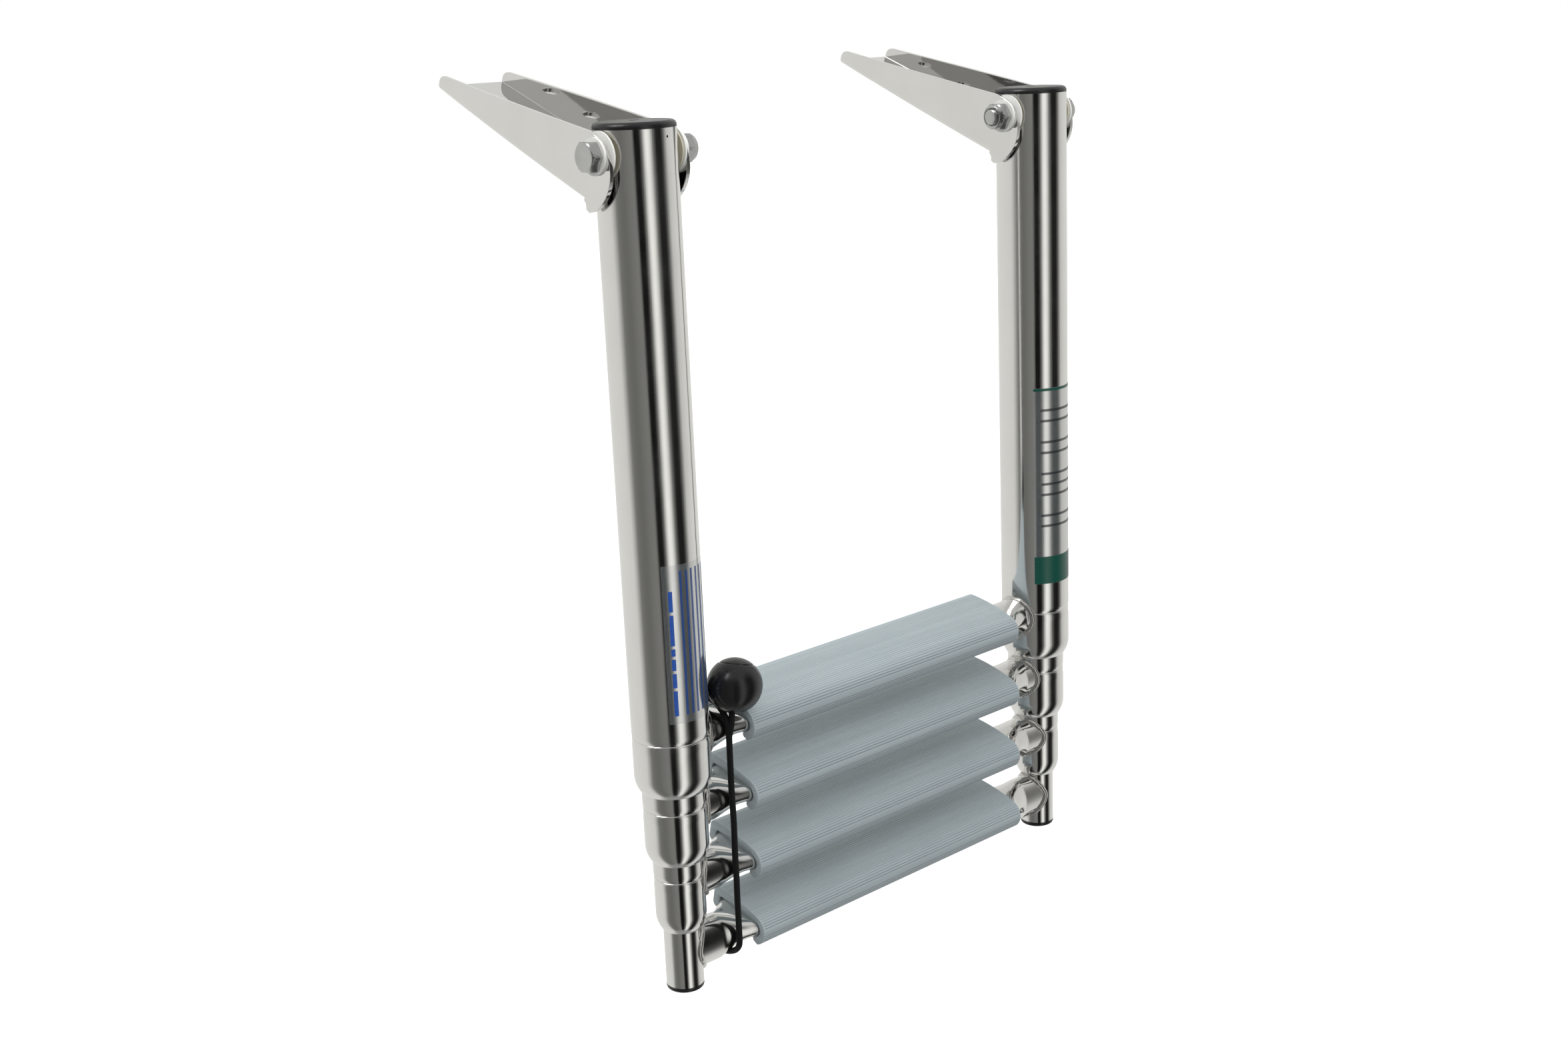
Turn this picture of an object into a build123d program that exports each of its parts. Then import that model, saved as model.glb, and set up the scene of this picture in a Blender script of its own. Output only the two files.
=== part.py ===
from build123d import *
import os
from math import cos, radians, sin

# Telescoping boat boarding ladder, shown closed and hanging.
# Millimetres, +Z up, +X along the rungs, -Y is the climber's side, +Y is the boat.
# It is drawn about the fold axis, midway between the two mounting brackets, and
# each piece is saved with the bottom centre of the whole ladder's box as origin.
# The ladder's own tubes are vertical here, and the brackets lean up and back.

os.makedirs("parts", exist_ok=True)

# ---- tubes -----------------------------------------------------------------
tube_spacing = 272.0                        # left tube axis to right tube axis
tube_radius = {1: 19.05, 2: 15.875, 3: 12.7, 4: 9.525}
tube_wall = 1.2
tube_top_z = 11.0                           # section 1 tube end, above the fold axis
inner_top_z = -15.0                         # section 2 tube end, below the hinge bolt
foot_z = -409.5                             # section 4 tube end
roll_length = 3.6                           # tube ends are drawn in above the seam
roll_depth = 0.5
roll_bead = 1.0                             # height of the bead right at the seam
vent_radius = 0.6                           # air hole near the top of the left tube
vent_z = 7.2
vent_angle = -79.6
running_gap = 0.05

# ---- steps -----------------------------------------------------------------
first_seam_z = -278.5                       # where tube 1 meets its collar
step_pitch = 37.0                           # from one seam to the next when closed

# ---- collars and guides ----------------------------------------------------
collar_length = 27.0
collar_straight = 18.5                      # the rest rounds in to the next tube
collar_crown = 4.2                          # top edge is drawn in over this height
collar_lip = 6.0                            # closed part below the guide
collar_gap = 0.15                           # collar lip to the tube inside it
spigot_length = 8.0                         # collar neck inside its own tube
guide_wall = 1.0
guide_flange = 1.5
slide_ring_length = 15.0

# ---- rungs -----------------------------------------------------------------
rung_diameter = 22.2
rung_wall = 1.2
rung_drop = 2.1                             # round ends sit this far below the seam
flat_width = 31.6
flat_thickness = 7.4
flat_rise = 0.9                             # pressed part sits this far above the seam
flat_half_length = 99.0
round_start = 115.5
foot_neck_width = 18.0                      # rung 4 is squeezed to meet a thinner tube
foot_neck_height = 24.6
foot_neck_drop = 3.0
tread_tilt = 13.0                           # treads come level when the ladder leans out
bead_size = 1.3
bead_top = 9.6                              # beads stay below the collar above

# ---- treads ----------------------------------------------------------------
tread_half_length = 99.0
tread_gap = 0.15

# ---- brackets and hinge ----------------------------------------------------
bracket_tilt = 22.5                         # web rises this much towards the boat
bracket_wall = 2.0
bracket_half_width = 22.9                   # outside, at the hinge
bracket_tip_half_width = 19.4               # outside, at the free end
bracket_reach = 128.0                       # fold axis to free end, along the web
web_drop = 22.0                             # fold axis to the web's under face
straight_reach = 18.0                       # sides are parallel up to here
notch_reach = 2.0                           # the web starts here
tip_height = 7.5
tip_round = 3.0
cutout_radius = bracket_half_width - bracket_wall
cutout_centre = -8.5                        # U cut-out that the tube hangs in
mount_hole_radius = 3.97                   # 5/16 in
mount_hole_near = 81.5                      # along the web, from the fold axis
mount_hole_spacing = 30.0
bend_outside = 3.0
# Side profile of a bracket, as (along the web, above the fold axis).
brow_start = (8.0, 8.6)
crown_end = (-13.0, -6.5)
chin_middle = (-10.4, -18.6)
chin_end = (-3.2, -25.8)
foot_end = (-0.6, -25.2)
notch_middle = (0.3, -23.0)
bracket_clear = 80.0                        # taller and deeper than a bracket, for cuts

bolt_radius = 4.0
bolt_hole_radius = 4.2
bolt_end = 33.4                             # threaded end, from the tube's axis
hex_across_flats = 13.0
bolt_head_height = 5.3
nut_height = 8.0
nut_collar = 2.0                            # round end of the nut, with its locking ring
hex_chamfer = 0.6
outer_washer_radius = 8.5
outer_washer_thickness = 1.2
inner_washer_radius = 11.0
inner_washer_thickness = 0.9
bush_radius = 5.0
bush_flange_radius = 10.0
bush_flange_thickness = 0.8
bush_barrel_length = 3.6

# ---- caps, labels, bungee --------------------------------------------------
cap_thickness = 3.3
cap_plug_length = 5.5
cap_plug_wall = 2.0
cap_edge_round = 1.2
foot_cap_thickness = 2.6
label_thickness = 0.15
label_wrap = 99.0                           # degrees of tube covered by each film
ball_radius = 13.75
ball_centre = (-106.6, -15.0, -257.2)
cord_radius = 1.75
cord_x = -111.5
cord_loop_radius = 14.2

# ---- placing ---------------------------------------------------------------
middle_y = 48.95                            # middle of the whole, behind the fold axis
lowest_z = foot_z - foot_cap_thickness      # underside of the foot caps

SIDES = {"left": -1, "right": 1}


def seam_z(section):
    return first_seam_z - (section - 1) * step_pitch


def tube_x(side):
    return side * tube_spacing / 2


def tube_top(section):
    if section == 1:
        return tube_top_z
    return inner_top_z - (section - 2) * step_pitch


def bore_radius(section):
    return tube_radius[section] - tube_wall


def save(builder, label):
    piece = builder.part.moved(Location((0, -middle_y, -lowest_z)))
    piece.label = label
    export_step(piece, f"parts/{label}.step")


# ---- brackets --------------------------------------------------------------
def web_plane(side, height=0.0):
    """Plane parallel to the bracket's web, at a height above the fold axis."""
    tilt = radians(bracket_tilt)
    up = (0, -sin(tilt), cos(tilt))
    origin = (tube_x(side), up[1] * height, up[2] * height)
    return Plane(origin=origin, x_dir=(1, 0, 0), z_dir=up)


def side_plane(side):
    """Plane across the fold axis, its x along the web and its y away from it."""
    tilt = radians(bracket_tilt)
    return Plane(origin=(tube_x(side), 0, 0), x_dir=(0, cos(tilt), sin(tilt)), z_dir=(1, 0, 0))


def channel_plan(half_width, tip_half_width, front, reach):
    """Outline seen from above: parallel at the hinge, then drawn in to the tip."""
    with BuildSketch(mode=Mode.PRIVATE) as plan:
        with BuildLine():
            front_edge = Line((-half_width, front), (half_width, front))
            right = Line(front_edge @ 1, (half_width, straight_reach))
            right_taper = TangentArc(right @ 1, (tip_half_width, reach), tangent=(0, 1))
            tip = Line(right_taper @ 1, (-tip_half_width, reach))
            left = Line(front_edge @ 0, (-half_width, straight_reach))
            TangentArc(left @ 1, tip @ 1, tangent=(0, 1))
        make_face()
    return plan.sketch


def make_bracket(side):
    inner = bracket_half_width - bracket_wall
    inner_tip = bracket_tip_half_width - bracket_wall
    below = web_plane(side, -bracket_clear / 2)
    tip_top = tip_height - web_drop
    with BuildPart() as bracket:
        with BuildSketch(web_plane(side, -web_drop)):
            add(channel_plan(bracket_half_width, bracket_tip_half_width, notch_reach, bracket_reach))
        extrude(amount=bracket_clear)
        under = bracket.faces().sort_by(Axis(below.origin, below.z_dir))[0]
        fillet(under.edges().filter_by(lambda e: abs((e @ 0.5 - e @ 0).X) < bend_outside), bend_outside)
        with BuildSketch(below):
            with Locations((0, notch_reach - bracket_clear / 4)):
                Rectangle(2 * bracket_half_width, bracket_clear / 2)
        extrude(amount=bracket_clear)
        with BuildSketch(web_plane(side, bracket_wall - web_drop)):
            add(channel_plan(inner, inner_tip, -bracket_clear / 2, bracket_reach + 1))
        extrude(amount=bracket_clear, mode=Mode.SUBTRACT)
        with BuildSketch(side_plane(side)):
            with BuildLine():
                underside = Line((notch_reach, -web_drop), (bracket_reach, -web_drop))
                tip = Line(underside @ 1, (bracket_reach, tip_top - tip_round))
                tip_arc = ThreePointArc(
                    tip @ 1,
                    (bracket_reach - 0.3 * tip_round, tip_top - 0.3 * tip_round),
                    (bracket_reach - tip_round, tip_top + 0.2 * tip_round),
                )
                brow = Line(tip_arc @ 1, brow_start)
                crown = TangentArc(brow @ 1, crown_end, tangent=brow % 1)
                chin = ThreePointArc(crown @ 1, chin_middle, chin_end)
                foot = Line(chin @ 1, foot_end)
                ThreePointArc(foot @ 1, notch_middle, underside @ 0)
            make_face()
        extrude(amount=bracket_half_width + 1, both=True, mode=Mode.INTERSECT)
        with BuildSketch(below):
            with Locations((0, cutout_centre)):
                Circle(cutout_radius)
            with Locations((0, cutout_centre - bracket_clear / 4)):
                Rectangle(2 * cutout_radius, bracket_clear / 2)
        extrude(amount=web_drop, mode=Mode.SUBTRACT)
        with BuildSketch(side_plane(side)):
            Circle(bolt_hole_radius)
        extrude(amount=bracket_half_width + 1, both=True, mode=Mode.SUBTRACT)
        with BuildSketch(below):
            with Locations((0, mount_hole_near), (0, mount_hole_near + mount_hole_spacing)):
                Circle(mount_hole_radius)
        extrude(amount=web_drop, mode=Mode.SUBTRACT)
    return bracket


for name, side in SIDES.items():
    save(make_bracket(side), f"{name}_bracket")


# ---- hinge hardware --------------------------------------------------------
def across(side, start, outwards=True):
    """Plane square to the fold axis, start mm out from a tube's axis."""
    sign = side if outwards else -side
    return Plane(origin=(tube_x(side) + sign * start, 0, 0), x_dir=(0, 1, 0), z_dir=(sign, 0, 0))


head_start = bracket_half_width + outer_washer_thickness

with BuildPart() as hinge_bolts:
    for side in SIDES.values():
        with BuildSketch(across(side, head_start)):
            RegularPolygon(hex_across_flats / 2, 6, major_radius=False)
        extrude(amount=bolt_head_height)
        with BuildSketch(across(side, head_start)):
            Circle(bolt_radius)
        extrude(amount=-(head_start + bolt_end))
    head_end = tube_spacing / 2 + head_start + bolt_head_height
    head_rims = hinge_bolts.edges().filter_by(lambda e: abs((e @ 0.5).X) > head_end - hex_chamfer)
    chamfer(head_rims, hex_chamfer)
save(hinge_bolts, "hinge_bolts")

with BuildPart() as hinge_nuts:
    for side in SIDES.values():
        with BuildSketch(across(side, head_start, outwards=False)):
            RegularPolygon(hex_across_flats / 2, 6, major_radius=False)
            Circle(bolt_radius, mode=Mode.SUBTRACT)
        extrude(amount=nut_height - nut_collar)
        with BuildSketch(across(side, head_start + nut_height - nut_collar, outwards=False)):
            Circle(hex_across_flats / 2 - hex_chamfer)
            Circle(bolt_radius, mode=Mode.SUBTRACT)
        extrude(amount=nut_collar)
save(hinge_nuts, "hinge_nuts")

with BuildPart() as hinge_outer_washers:
    for side in SIDES.values():
        for outwards in (True, False):
            with BuildSketch(across(side, bracket_half_width, outwards)):
                Circle(outer_washer_radius)
                Circle(bolt_radius, mode=Mode.SUBTRACT)
            extrude(amount=outer_washer_thickness)
save(hinge_outer_washers, "hinge_outer_washers")

with BuildPart() as hinge_inner_washers:
    for side in SIDES.values():
        for outwards in (True, False):
            washer_end = bracket_half_width - bracket_wall
            with BuildSketch(across(side, washer_end, outwards)):
                Circle(inner_washer_radius)
                Circle(bolt_radius, mode=Mode.SUBTRACT)
            extrude(amount=-inner_washer_thickness)
save(hinge_inner_washers, "hinge_inner_washers")

with BuildPart() as hinge_bushes:
    for side in SIDES.values():
        for outwards in (True, False):
            with BuildSketch(across(side, tube_radius[1] + running_gap, outwards)):
                Circle(bush_flange_radius)
                Circle(bolt_radius + running_gap, mode=Mode.SUBTRACT)
            extrude(amount=bush_flange_thickness)
            with BuildSketch(across(side, tube_radius[1] + running_gap, outwards)):
                Circle(bush_radius)
                Circle(bolt_radius + running_gap, mode=Mode.SUBTRACT)
            extrude(amount=-bush_barrel_length)
save(hinge_bushes, "hinge_bushes")


# ---- tubes and collars -----------------------------------------------------
def tube_bottom(section):
    return foot_z if section == 4 else seam_z(section)


def radial_plane(section, side):
    """Plane through a tube's axis with its origin at the seam: x is outwards, y is up."""
    return Plane(origin=(tube_x(side), 0, seam_z(section)), x_dir=(1, 0, 0), z_dir=(0, -1, 0))


def roll_tube_end(section, side):
    """Draws the tube in just above its seam and leaves a small bead at the end."""
    radius = tube_radius[section]
    waist = radius - roll_depth
    with BuildSketch(radial_plane(section, side)) as waste:
        with BuildLine():
            neck = TangentArc((radius, roll_length), (waist, roll_bead), tangent=(0, -1))
            bead = ThreePointArc(neck @ 1, (radius - 0.1, roll_bead / 2), (waist, 0))
            under = Line(bead @ 1, (radius + 1, 0))
            outside = Line(under @ 1, (radius + 1, roll_length))
            Line(outside @ 1, neck @ 0)
        make_face()
    revolve(waste.sketch, axis=Axis((tube_x(side), 0, 0), (0, 0, 1)), mode=Mode.SUBTRACT)


def make_tube(section, side):
    radius = tube_radius[section]
    bottom = tube_bottom(section)
    with BuildPart() as tube:
        with BuildSketch(Plane(origin=(tube_x(side), 0, bottom))):
            Circle(radius)
            Circle(radius - tube_wall, mode=Mode.SUBTRACT)
        extrude(amount=tube_top(section) - bottom)
        if section < 4:
            roll_tube_end(section, side)
        if section == 1 and side == SIDES["left"]:
            turn = radians(vent_angle)
            outwards = (cos(turn), sin(turn), 0)
            with BuildSketch(Plane(origin=(tube_x(side), 0, vent_z), z_dir=outwards)):
                Circle(vent_radius)
            extrude(amount=radius + 1, mode=Mode.SUBTRACT)
        if section == 1:
            with BuildSketch(across(side, 0)):
                Circle(bush_radius)
            extrude(amount=radius + 1, both=True, mode=Mode.SUBTRACT)
    return tube


def make_collar(section, side):
    """Sleeve below the seam: its neck is inside tube n, its lip is round tube n+1."""
    outside = tube_radius[section]
    bore = tube_radius[section + 1] + running_gap + guide_wall
    lip = tube_radius[section + 1] + collar_gap
    neck = bore_radius(section)
    with BuildPart() as collar:
        with BuildSketch(radial_plane(section, side)):
            with BuildLine():
                straight = Line((outside, -collar_crown), (outside, -collar_straight))
                crown = TangentArc(straight @ 0, (outside - roll_depth, 0), tangent=(0, 1))
                Line(crown @ 1, (neck, 0))
                nose = TangentArc(straight @ 1, (lip + 0.2, -collar_length), tangent=(0, -1))
                under = Line(nose @ 1, (lip, -collar_length))
                mouth = Line(under @ 1, (lip, -collar_length + collar_lip))
                seat = Line(mouth @ 1, (bore, -collar_length + collar_lip))
                pocket = Line(seat @ 1, (bore, spigot_length))
                top = Line(pocket @ 1, (neck, spigot_length))
                Line(top @ 1, (neck, 0))
            make_face()
        revolve(axis=Axis((tube_x(side), 0, 0), (0, 0, 1)))
    return collar


def make_guides(section):
    """Plastic liners in a pair of collars, each with a flange on the collar's neck."""
    inner = tube_radius[section + 1] + running_gap
    bottom = seam_z(section) - collar_length + collar_lip
    neck_top = seam_z(section) + spigot_length
    with BuildPart() as guides:
        for side in SIDES.values():
            with BuildSketch(Plane(origin=(tube_x(side), 0, bottom))):
                Circle(inner + guide_wall)
                Circle(inner, mode=Mode.SUBTRACT)
            extrude(amount=neck_top - bottom)
            with BuildSketch(Plane(origin=(tube_x(side), 0, neck_top))):
                Circle(bore_radius(section))
                Circle(inner, mode=Mode.SUBTRACT)
            extrude(amount=guide_flange)
    return guides


def make_slide_rings(section):
    """Plastic rings on the top ends of a pair of inner tubes; also the end stops."""
    with BuildPart() as rings:
        for side in SIDES.values():
            low = tube_top(section) - slide_ring_length
            with BuildSketch(Plane(origin=(tube_x(side), 0, low))):
                Circle(bore_radius(section - 1) - running_gap)
                Circle(tube_radius[section], mode=Mode.SUBTRACT)
            extrude(amount=slide_ring_length)
    return rings


for section in tube_radius:
    for name, side in SIDES.items():
        save(make_tube(section, side), f"tube_{section}_{name}")
        if section < 4:
            save(make_collar(section, side), f"collar_{section}_{name}")
    if section < 4:
        save(make_guides(section), f"guide_bushings_{section}")
    if section > 1:
        save(make_slide_rings(section), f"slide_rings_{section}")


# ---- rungs, welds and treads -----------------------------------------------
def end_shape(section):
    """Width, height and centre height of a rung where it meets its tubes."""
    if section == 4:
        return foot_neck_width, foot_neck_height, seam_z(4) - foot_neck_drop
    return rung_diameter, rung_diameter, seam_z(section) - rung_drop


def rung_profile(section, x, blend, inset):
    """Rung section at x: blend 0 is the pressed middle, 1 is the welded end."""
    end_width, end_height, end_z = end_shape(section)
    width = flat_width + (end_width - flat_width) * blend - 2 * inset
    height = flat_thickness + (end_height - flat_thickness) * blend - 2 * inset
    middle_z = seam_z(section) + flat_rise
    z = middle_z + (end_z - middle_z) * blend
    turn = radians(tread_tilt * (1 - blend))
    plane = Plane(origin=(x, 0, z), x_dir=(0, cos(turn), sin(turn)), z_dir=(1, 0, 0))
    with BuildSketch(plane) as profile:
        RectangleRounded(width, height, min(width, height) / 2 - 0.01)
    return profile.sketch


def add_rung_body(section, inset, mode):
    """One rung's outer or inner form, from the middle out to both tubes."""
    extrude(rung_profile(section, 0, 0, inset), amount=flat_half_length, both=True, mode=mode)
    run = round_start - flat_half_length
    for side in SIDES.values():
        swell = []
        for step in (0.0, 0.3, 0.75, 1.0):
            x = side * (flat_half_length + run * step)
            swell.append(rung_profile(section, x, step * step * (3 - 2 * step), inset))
        loft(swell, mode=mode)
        extrude(swell[-1], amount=side * (tube_spacing / 2 - round_start), mode=mode)


def make_rung(section):
    with BuildPart() as rung:
        add_rung_body(section, 0, Mode.ADD)
        add_rung_body(section, rung_wall, Mode.SUBTRACT)
        with BuildSketch(Plane.XY.offset(seam_z(section) - step_pitch)):
            with Locations((tube_x(-1), 0), (tube_x(1), 0)):
                Circle(tube_radius[section])
        extrude(amount=2 * step_pitch, mode=Mode.SUBTRACT)
    return rung


def make_beads(section):
    """Weld fillet round each end of a rung, between the rung and its tube."""
    width, height, z = end_shape(section)
    reach = tube_radius[section] + bead_size
    with BuildPart() as beads:
        for side in SIDES.values():
            plane = Plane(origin=(tube_x(side), 0, z), x_dir=(0, 1, 0), z_dir=(-side, 0, 0))
            with BuildSketch(plane):
                RectangleRounded(
                    width + 2 * bead_size,
                    height + 2 * bead_size,
                    min(width, height) / 2 + bead_size - 0.01,
                )
            extrude(amount=reach)
        low = z - height / 2 - bead_size - 1
        with BuildSketch(Plane.XY.offset(low)):
            with Locations((tube_x(-1), 0), (tube_x(1), 0)):
                Circle(reach)
        extrude(amount=seam_z(section) + bead_top - low, mode=Mode.INTERSECT)
        with BuildSketch(Plane.XY.offset(low)):
            with Locations((tube_x(-1), 0), (tube_x(1), 0)):
                Circle(tube_radius[section])
        extrude(amount=2 * step_pitch, mode=Mode.SUBTRACT)
        with BuildSketch(Plane(origin=(0, 0, z), x_dir=(0, 1, 0), z_dir=(1, 0, 0))):
            RectangleRounded(width, height, min(width, height) / 2 - 0.01)
        extrude(amount=tube_spacing / 2, both=True, mode=Mode.SUBTRACT)
    return beads


def make_tread(section):
    """Moulded cover: crowned top, round nose, and lips that hook under the rung."""
    half_rung = flat_width / 2 + tread_gap
    roof = flat_rise + flat_thickness / 2 + tread_gap
    floor = flat_rise - flat_thickness / 2 - tread_gap
    middle = flat_rise
    tilt = radians(tread_tilt)
    start_y = flat_rise * sin(tilt)
    start_z = seam_z(section) + flat_rise * (1 - cos(tilt))
    start = (-tread_half_length, start_y, start_z)
    plane = Plane(origin=start, x_dir=(0, cos(tilt), sin(tilt)), z_dir=(1, 0, 0))
    hook_inner = -half_rung + 3.2
    lip_middle = (hook_inner + 1.0, floor - 1.6)
    lip_end = (hook_inner - 0.6, floor - 3.3)
    with BuildPart() as tread:
        with BuildSketch(plane):
            with BuildLine():
                nose = ThreePointArc((-15.4, -6.8), (-19.8, 0.6), (-12.5, 8.6))
                crown = ThreePointArc(nose @ 1, (2.0, 9.7), (16.4, 8.1))
                back = ThreePointArc(crown @ 1, (19.3, 6.8), (20.2, 4.0))
                heel = Line(back @ 1, (20.2, 0.6))
                heel_turn = ThreePointArc(heel @ 1, (19.6, -2.0), (17.7, -3.2))
                back_lip = Line(heel_turn @ 1, (half_rung - 0.9, -2.0))
                back_wall = ThreePointArc(back_lip @ 1, (half_rung, middle), (half_rung - 1.2, roof))
                ceiling = Line(back_wall @ 1, (hook_inner, roof))
                front_wall = ThreePointArc(ceiling @ 1, (-half_rung, middle), (hook_inner, floor))
                lip = ThreePointArc(front_wall @ 1, lip_middle, lip_end)
                Line(lip @ 1, nose @ 0)
            make_face()
        extrude(amount=2 * tread_half_length)
    return tread


for section in tube_radius:
    save(make_rung(section), f"rung_{section}")
    save(make_beads(section), f"weld_beads_{section}")
    save(make_tread(section), f"tread_{section}")


# ---- caps ------------------------------------------------------------------
def make_top_cap(side):
    outside = tube_radius[1]
    x = tube_x(side)
    plug = bore_radius(1)
    plane = Plane(origin=(x, 0, tube_top_z), x_dir=(1, 0, 0), z_dir=(0, -1, 0))
    with BuildPart() as cap:
        with BuildSketch(plane):
            with BuildLine():
                dimple = ThreePointArc((0, 2.4), (1.6, 2.5), (2.6, cap_thickness))
                dome = Line(dimple @ 1, (outside - 3.0, cap_thickness - 0.2))
                edge = ThreePointArc(dome @ 1, (outside - 0.5, 2.2), (outside, 0.9))
                rim = Line(edge @ 1, (outside, 0))
                seat = Line(rim @ 1, (plug, 0))
                outer = Line(seat @ 1, (plug, -cap_plug_length))
                end = Line(outer @ 1, (plug - cap_plug_wall, -cap_plug_length))
                inner = Line(end @ 1, (plug - cap_plug_wall, 0))
                ceiling = Line(inner @ 1, (0, 0))
                Line(ceiling @ 1, dimple @ 0)
            make_face()
        revolve(axis=Axis((x, 0, 0), (0, 0, 1)))
    return cap


for name, side in SIDES.items():
    save(make_top_cap(side), f"top_cap_{name}")

with BuildPart() as bottom_caps:
    for side in SIDES.values():
        with BuildSketch(Plane(origin=(tube_x(side), 0, foot_z - foot_cap_thickness))):
            Circle(tube_radius[4])
        extrude(amount=foot_cap_thickness)
        with BuildSketch(Plane(origin=(tube_x(side), 0, foot_z))):
            Circle(bore_radius(4))
            Circle(bore_radius(4) - cap_plug_wall, mode=Mode.SUBTRACT)
        extrude(amount=cap_plug_length)
    soles = bottom_caps.edges().group_by(Axis.Z)[0]
    fillet(soles, cap_edge_round)
save(bottom_caps, "bottom_caps")


# ---- labels ----------------------------------------------------------------
def make_label(side, start_angle, low, high):
    """Thin film wrapped round the outer tube; angles are from +X."""
    radius = tube_radius[1]
    with BuildPart() as label:
        with BuildSketch(Plane(origin=(tube_x(side), 0, low))):
            with BuildLine():
                inner = CenterArc((0, 0), radius, start_angle, label_wrap)
                outer = CenterArc((0, 0), radius + label_thickness, start_angle, label_wrap)
                Line(inner @ 0, outer @ 0)
                Line(inner @ 1, outer @ 1)
            make_face()
        extrude(amount=high - low)
    return label


save(make_label(SIDES["left"], -129.0, -266.0, -188.0), "label_left")
save(make_label(SIDES["right"], -140.0, -260.0, -147.5), "label_right")


# ---- ball and cord ---------------------------------------------------------
with BuildPart() as bungee_ball:
    with Locations(ball_centre):
        Sphere(ball_radius)
save(bungee_ball, "bungee_ball")

rung_1_z = end_shape(1)[2]
rung_4_z = end_shape(4)[2] + 0.2
front_y = -cord_loop_radius
with BuildPart() as bungee_cord:
    with BuildLine() as loop:
        front = Line((cord_x, front_y, rung_1_z), (cord_x, front_y, rung_4_z))
        under = ThreePointArc(
            front @ 1, (cord_x, 0, rung_4_z - cord_loop_radius), (cord_x, -front_y, rung_4_z)
        )
        rear = Line(under @ 1, (cord_x, -front_y, rung_1_z))
        ThreePointArc(rear @ 1, (cord_x, 0, rung_1_z + cord_loop_radius), front @ 0)
    with BuildSketch(Plane(origin=front @ 0, z_dir=(0, 0, -1))):
        Circle(cord_radius)
    sweep()
    neck_start = Vector(cord_x, front_y, rung_1_z + 3)
    neck_axis = Vector(*ball_centre) - neck_start
    with BuildSketch(Plane(origin=neck_start, z_dir=neck_axis)):
        Circle(cord_radius)
    extrude(amount=neck_axis.length)
    with Locations(ball_centre):
        Sphere(ball_radius, mode=Mode.SUBTRACT)
save(bungee_cord, "bungee_cord")
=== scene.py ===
import math
from functools import cache

import bpy
from mathutils import Matrix, Vector, noise


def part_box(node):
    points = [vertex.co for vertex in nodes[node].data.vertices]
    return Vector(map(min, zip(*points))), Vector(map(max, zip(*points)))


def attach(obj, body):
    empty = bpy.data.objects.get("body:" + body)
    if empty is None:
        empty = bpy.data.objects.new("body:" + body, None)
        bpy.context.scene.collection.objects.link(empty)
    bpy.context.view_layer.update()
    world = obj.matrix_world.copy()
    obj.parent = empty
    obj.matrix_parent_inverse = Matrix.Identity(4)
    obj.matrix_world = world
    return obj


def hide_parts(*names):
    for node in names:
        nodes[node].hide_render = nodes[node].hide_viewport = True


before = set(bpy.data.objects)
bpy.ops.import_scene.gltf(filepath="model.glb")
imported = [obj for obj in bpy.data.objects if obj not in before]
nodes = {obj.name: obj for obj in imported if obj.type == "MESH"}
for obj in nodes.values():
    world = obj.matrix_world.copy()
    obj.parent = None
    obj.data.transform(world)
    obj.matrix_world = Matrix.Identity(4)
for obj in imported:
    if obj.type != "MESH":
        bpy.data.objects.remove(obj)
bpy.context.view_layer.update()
scene = bpy.context.scene

MM = 0.001
SECTIONS = (1, 2, 3, 4)
# Sections that end in a collar, and sections that slide inside another.
COLLARED, SLIDING = SECTIONS[:-1], SECTIONS[1:]
SIDES = {"left": -1, "right": 1}


# ---------------------------------------------------------------------------
# Places taken from the frame. X runs along the fold axis, Y to the back, Z up. Sizes in the
# modelling parts are millimetres; sizes in materials, ball and cord are metres.
def centre(node):
    low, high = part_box(node)
    return (Vector(low) + Vector(high)) / 2


def half_width(node):
    """Half of a node's size along X, in metres."""
    low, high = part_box(node)
    return (high[0] - low[0]) / 2


# The middle of the fold axis, in metres, and the place of the tubes' axes along it.
hinge = centre("hinge_inner_washers")
hinge.x = 0.0
tube_x = centre("tube_1_right").x / MM


@cache
def tube_radius(section):
    return half_width(f"tube_{section}_left") / MM


@cache
def seam_height(section):
    """Height of a section's seam over the fold axis: the underside of its tubes.

    Section 4 has no seam, so it gets the one that lies a step below section 3's.
    """
    if section < 4:
        return (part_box(f"tube_{section}_left")[0][2] - hinge.z) / MM
    return 2 * seam_height(3) - seam_height(2)


def at(x, y, z):
    """A point given in millimetres from the middle of the fold axis."""
    return hinge + Vector((x, y, z)) * MM


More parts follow.
